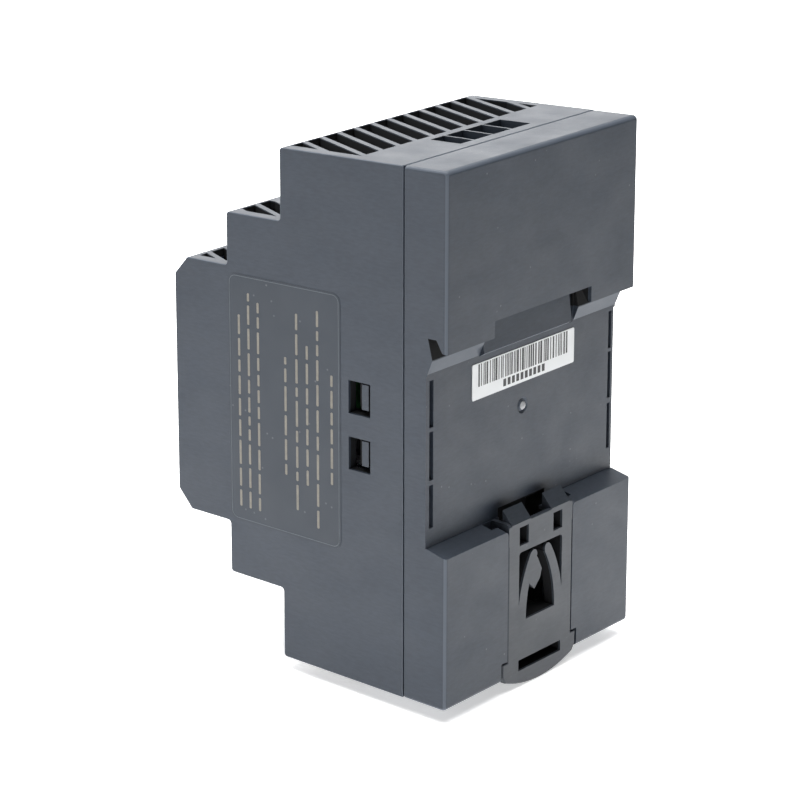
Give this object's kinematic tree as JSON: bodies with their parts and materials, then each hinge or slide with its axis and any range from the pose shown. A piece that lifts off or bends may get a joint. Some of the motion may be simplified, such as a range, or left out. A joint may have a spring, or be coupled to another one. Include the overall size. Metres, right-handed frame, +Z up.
{
  "type": "DIN rail power supply",
  "caption": "Stepped grey plastic switching power supply with slanted vents and a sliding foot that clips it on a 35 mm rail",
  "frame": {"origin": "middle of the rail seat, on the rail's centre line", "axes": "+X towards the labelled side, +Y back towards the wall behind the rail, +Z up as mounted"},
  "size_m": [0.0525, 0.0545, 0.0922],
  "materials": {
    "housing_plastic": "moulded satin, fine grain",
    "foot_plastic": "moulded satin",
    "label_film": "shallow matt film",
    "white_paper": "coated paper",
    "front_film": "printed matt film",
    "clear_plastic": "clear, polished",
    "trimmer_blue": "moulded",
    "trimmer_white": "moulded",
    "terminal_plastic": "moulded, fine grain",
    "tinned_copper": "tinned",
    "plated_steel": "zinc plated",
    "circuit_board": "solder mask",
    "black_epoxy": "moulded epoxy",
    "insulating_film": "thin film",
    "capacitor_sleeve": "shrink sleeve",
    "film_capacitor_yellow": "moulded box",
    "ferrite": "ground ferrite",
    "enamelled_copper": "enamelled wire",
    "bobbin_plastic": "moulded phenolic",
    "winding_tape": "polyester tape",
    "disc_coating": "dipped epoxy",
    "aluminium_sheet": "stamped sheet"
  },
  "bodies": {
    "case": {"bridge_rectifier": "black_epoxy", "bulk_capacitor": "capacitor_sleeve", "control_board": "circuit_board", "control_chips": "black_epoxy", "front_housing": "housing_plastic", "front_label": "front_film", "heatsink_screws": "plated_steel", "indicator_led": "clear_plastic", "input_contact_bars": "tinned_copper", "input_terminal_block": "terminal_plastic", "inrush_thermistor": "disc_coating", "insulation_sheet": "insulating_film", "light_pipe": "clear_plastic", "line_filter_capacitor": "film_capacitor_yellow", "line_filter_core": "ferrite", "line_filter_windings": "enamelled_copper", "line_fuse": "black_epoxy", "main_board": "circuit_board", "optocoupler": "black_epoxy", "output_capacitors": "capacitor_sleeve", "output_contact_bars": "tinned_copper", "output_heatsink": "aluminium_sheet", "output_inductor": "ferrite", "output_rectifier": "black_epoxy", "output_terminal_block": "terminal_plastic", "power_transistor": "black_epoxy", "primary_heatsink": "aluminium_sheet", "rear_cover": "housing_plastic", "safety_capacitor": "disc_coating", "serial_sticker": "white_paper", "side_label": "label_film", "transformer_bobbin": "bobbin_plastic", "transformer_core": "ferrite", "transformer_winding": "winding_tape", "trimmer_body": "trimmer_blue", "varistor": "disc_coating"},
    "foot": {"rail_foot": "foot_plastic"},
    "trimmer": {"trimmer_rotor": "trimmer_white"},
    "output_screw_1": {"output_clamp_screw_1": "plated_steel"},
    "output_cage_1": {"output_clamp_cage_1": "plated_steel"},
    "output_screw_2": {"output_clamp_screw_2": "plated_steel"},
    "output_cage_2": {"output_clamp_cage_2": "plated_steel"},
    "output_screw_3": {"output_clamp_screw_3": "plated_steel"},
    "output_cage_3": {"output_clamp_cage_3": "plated_steel"},
    "output_screw_4": {"output_clamp_screw_4": "plated_steel"},
    "output_cage_4": {"output_clamp_cage_4": "plated_steel"},
    "input_screw_1": {"input_clamp_screw_1": "plated_steel"},
    "input_cage_1": {"input_clamp_cage_1": "plated_steel"},
    "input_screw_2": {"input_clamp_screw_2": "plated_steel"},
    "input_cage_2": {"input_clamp_cage_2": "plated_steel"}
  },
  "joints": [
    {"name": "foot_release", "type": "slide", "parent": "case", "child": "foot", "axis": [0, 0, -1], "range_m": [0, 0.005], "stiffness_N_per_m": 150, "springref_m": -0.001},
    {"name": "trimmer_turn", "type": "hinge", "parent": "case", "child": "trimmer", "pos_m": [0.0124, -0.0465, 0.0125], "axis": [0, 1, 0], "range_deg": [-135, 135]},
    {"name": "output_cage_1_rise", "type": "slide", "parent": "case", "child": "output_cage_1", "axis": [0, -1, 0], "range_m": [0, 0.0025]},
    {"name": "output_screw_1_turn", "type": "hinge", "parent": "case", "child": "output_screw_1", "pos_m": [-0.01143, -0.036, 0.0274], "axis": [0, 1, 0], "range_deg": [0, 1800]},
    {"name": "output_cage_2_rise", "type": "slide", "parent": "case", "child": "output_cage_2", "axis": [0, -1, 0], "range_m": [0, 0.0025]},
    {"name": "output_screw_2_turn", "type": "hinge", "parent": "case", "child": "output_screw_2", "pos_m": [-0.00381, -0.036, 0.0274], "axis": [0, 1, 0], "range_deg": [0, 1800]},
    {"name": "output_cage_3_rise", "type": "slide", "parent": "case", "child": "output_cage_3", "axis": [0, -1, 0], "range_m": [0, 0.0025]},
    {"name": "output_screw_3_turn", "type": "hinge", "parent": "case", "child": "output_screw_3", "pos_m": [0.00381, -0.036, 0.0274], "axis": [0, 1, 0], "range_deg": [0, 1800]},
    {"name": "output_cage_4_rise", "type": "slide", "parent": "case", "child": "output_cage_4", "axis": [0, -1, 0], "range_m": [0, 0.0025]},
    {"name": "output_screw_4_turn", "type": "hinge", "parent": "case", "child": "output_screw_4", "pos_m": [0.01143, -0.036, 0.0274], "axis": [0, 1, 0], "range_deg": [0, 1800]},
    {"name": "input_cage_1_rise", "type": "slide", "parent": "case", "child": "input_cage_1", "axis": [0, -1, 0], "range_m": [0, 0.0025]},
    {"name": "input_screw_1_turn", "type": "hinge", "parent": "case", "child": "input_screw_1", "pos_m": [-0.00571, -0.036, -0.0274], "axis": [0, 1, 0], "range_deg": [0, 1800]},
    {"name": "input_cage_2_rise", "type": "slide", "parent": "case", "child": "input_cage_2", "axis": [0, -1, 0], "range_m": [0, 0.0025]},
    {"name": "input_screw_2_turn", "type": "hinge", "parent": "case", "child": "input_screw_2", "pos_m": [0.00571, -0.036, -0.0274], "axis": [0, 1, 0], "range_deg": [0, 1800]}
  ],
  "couplings": [
    {"joint": "output_screw_1_turn", "follows": "output_cage_1_rise", "rad_per_m": 12566},
    {"joint": "output_screw_2_turn", "follows": "output_cage_2_rise", "rad_per_m": 12566},
    {"joint": "output_screw_3_turn", "follows": "output_cage_3_rise", "rad_per_m": 12566},
    {"joint": "output_screw_4_turn", "follows": "output_cage_4_rise", "rad_per_m": 12566},
    {"joint": "input_screw_1_turn", "follows": "input_cage_1_rise", "rad_per_m": 12566},
    {"joint": "input_screw_2_turn", "follows": "input_cage_2_rise", "rad_per_m": 12566}
  ]
}
